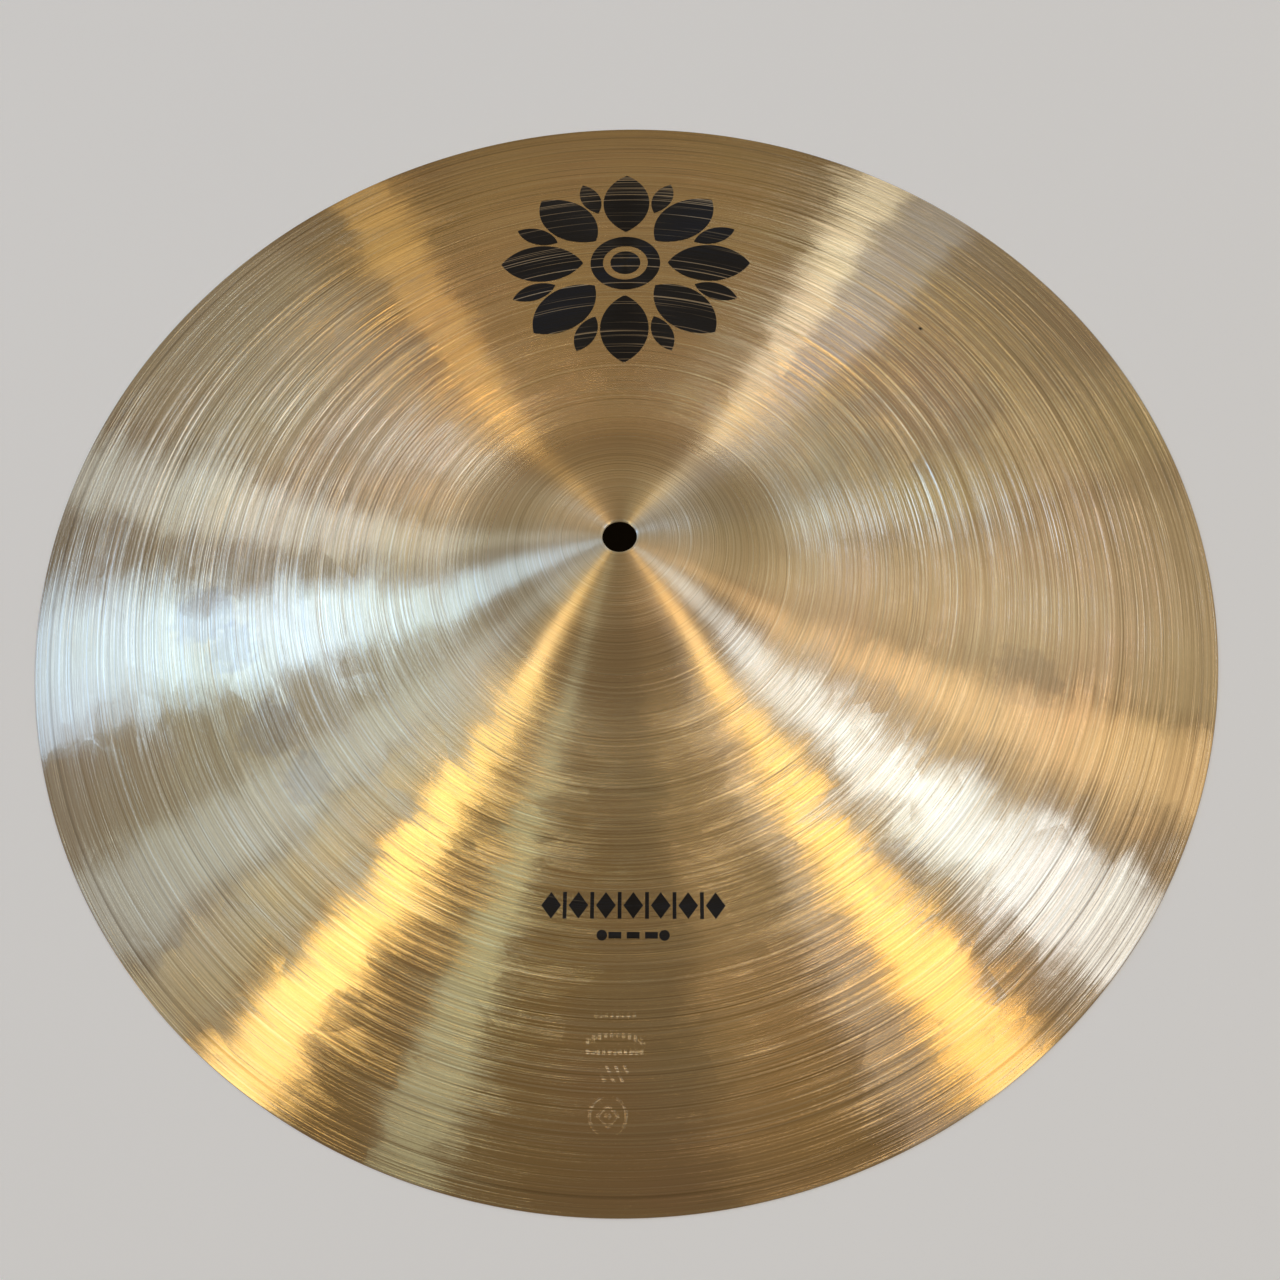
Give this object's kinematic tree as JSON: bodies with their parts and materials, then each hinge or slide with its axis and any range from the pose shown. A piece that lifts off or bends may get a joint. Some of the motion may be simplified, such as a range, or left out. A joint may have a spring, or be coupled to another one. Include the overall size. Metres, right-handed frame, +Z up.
{
  "type": "crash cymbal",
  "caption": "Round bronze crash cymbal with a raised bell, a central hole for the stand, a gently bowed plate thinning to the edge, and black printed ornaments.",
  "frame": {"origin": "on the cymbal's axis, at the level of the flat surface that its edge rests on", "axes": "+Z up along the hole's axis, out of the top of the bell; +Y from the axis towards the emblem, so the two printed lines lie towards -Y; +X to the right"},
  "size_m": [0.4572, 0.4572, 0.0378],
  "materials": {
    "bronze": "lathe-turned and hammered B20 bronze, satin, with fine concentric grooves",
    "black_ink": "thin screen-printed black ink, slightly worn on the lathe ridges"
  },
  "bodies": {
    "root": {"cymbal_plate": "bronze", "emblem_print": "black_ink", "first_line_print": "black_ink", "second_line_print": "black_ink"}
  },
  "joints": []
}
